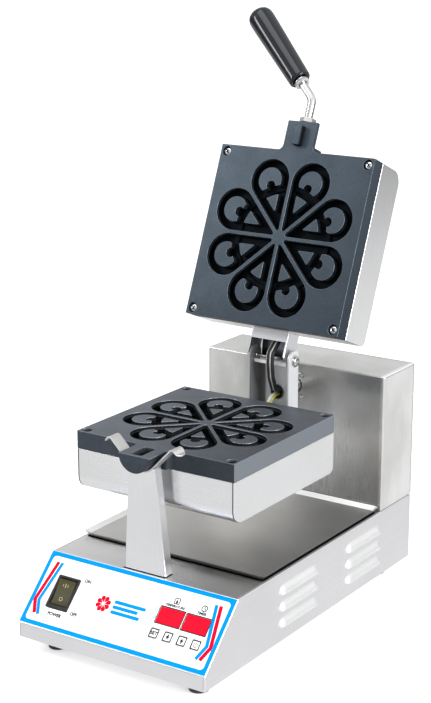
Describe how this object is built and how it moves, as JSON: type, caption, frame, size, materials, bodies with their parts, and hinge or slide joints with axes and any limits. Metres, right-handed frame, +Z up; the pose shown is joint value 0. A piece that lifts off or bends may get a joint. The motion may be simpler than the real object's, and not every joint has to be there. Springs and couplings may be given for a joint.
{
  "type": "rotary waffle baker",
  "caption": "Counter-top electric waffle baker with hinged non-stick petal-mould plates that turn together over a drip tray, on a base with a sloping control panel.",
  "frame": {"origin": "on the table, under the middle of the whole part's bounding box with the lid open (5.4 mm behind the middle of the base)", "axes": "+Z up, -Y towards the operator at the control panel, +X to the operator's right; the plates turn about an axis along Y and the lid opens about an axis along X"},
  "size_m": [0.2584, 0.463, 0.6812],
  "materials": {
    "stainless": "brushed",
    "nonstick": "satin speckled coating on cast aluminium",
    "chrome": "polished",
    "zinc": "plated",
    "black_plastic": "gloss",
    "rubber": "matt",
    "panel_film": "satin printed film",
    "red_window": "gloss",
    "key_cap": "satin",
    "circuit_board": "satin",
    "white_plastic": "matt",
    "heater_sheath": "heat-darkened",
    "iron": "painted",
    "sleeving": "braided sleeve",
    "wire_white": "glass-fibre sleeve"
  },
  "bodies": {
    "base": {"chassis": "stainless", "bottom_plate": "stainless", "rear_housing": "stainless", "rear_cover": "stainless", "foot_front_left": "rubber", "foot_front_right": "rubber", "foot_rear_left": "rubber", "foot_rear_right": "rubber", "control_label": "panel_film", "switch_housing": "black_plastic", "display_temperature": "red_window", "display_timer": "red_window", "control_board": "circuit_board", "power_board": "circuit_board", "transformer": "iron", "terminal_block": "white_plastic", "mains_inlet": "black_plastic", "bearing_block": "iron", "bearing_front": "chrome", "bearing_rear": "chrome", "wall_bolt_1": "zinc", "wall_bolt_2": "zinc", "cradle_post": "stainless", "cradle_strip": "stainless"},
    "switch": {"rocker_switch": "black_plastic"},
    "key_1": {"key_set": "key_cap"},
    "key_2": {"key_down": "key_cap"},
    "key_3": {"key_up": "key_cap"},
    "key_4": {"key_start": "key_cap"},
    "tray": {"drip_tray": "stainless"},
    "carrier": {"turn_shaft": "zinc", "shaft_collar": "zinc", "channel_bracket": "stainless", "cable_grommet": "rubber", "hinge_pin": "chrome", "hinge_nut": "zinc", "hinge_spacer": "zinc", "lower_wires": "wire_white", "lower_cover": "stainless", "lower_plate": "nonstick", "lower_heater": "heater_sheath", "lower_probe": "chrome", "lower_screw_front_left": "chrome", "lower_screw_front_right": "chrome", "lower_screw_rear_left": "chrome", "lower_screw_rear_right": "chrome", "lid_cable": "sleeving"},
    "lid": {"hinge_bracket": "stainless", "upper_cover": "stainless", "upper_plate": "nonstick", "upper_heater": "heater_sheath", "upper_probe": "chrome", "upper_screw_front_left": "chrome", "upper_screw_front_right": "chrome", "upper_screw_rear_left": "chrome", "upper_screw_rear_right": "chrome", "handle_rod": "chrome", "lug_nut": "zinc", "grip_nut": "zinc", "handle_grip": "black_plastic"}
  },
  "joints": [
    {"name": "carrier_turn", "type": "hinge", "parent": "base", "child": "carrier", "pos_m": [0, -0.0054, 0.2385], "axis": [0, 1, 0], "range_deg": [-35, 35]},
    {"name": "lid_hinge", "type": "hinge", "parent": "carrier", "child": "lid", "pos_m": [0, 0.0946, 0.2834], "axis": [1, 0, 0], "range_deg": [0, 112.5], "deforming": ["lid_cable"]},
    {"name": "tray_slide", "type": "slide", "parent": "base", "child": "tray", "axis": [1, 0, 0], "range_m": [0, 0.26]},
    {"name": "rocker_tilt", "type": "hinge", "parent": "base", "child": "switch", "pos_m": [-0.0855, -0.19957, 0.06673], "axis": [-1, 0, 0], "range_deg": [0, 16]},
    {"name": "key_set_press", "type": "slide", "parent": "base", "child": "key_1", "axis": [0, 0.7093, -0.7049], "range_m": [0, 0.0006], "stiffness_N_per_m": 2000},
    {"name": "key_down_press", "type": "slide", "parent": "base", "child": "key_2", "axis": [0, 0.7093, -0.7049], "range_m": [0, 0.0006], "stiffness_N_per_m": 2000},
    {"name": "key_up_press", "type": "slide", "parent": "base", "child": "key_3", "axis": [0, 0.7093, -0.7049], "range_m": [0, 0.0006], "stiffness_N_per_m": 2000},
    {"name": "key_start_press", "type": "slide", "parent": "base", "child": "key_4", "axis": [0, 0.7093, -0.7049], "range_m": [0, 0.0006], "stiffness_N_per_m": 2000}
  ]
}
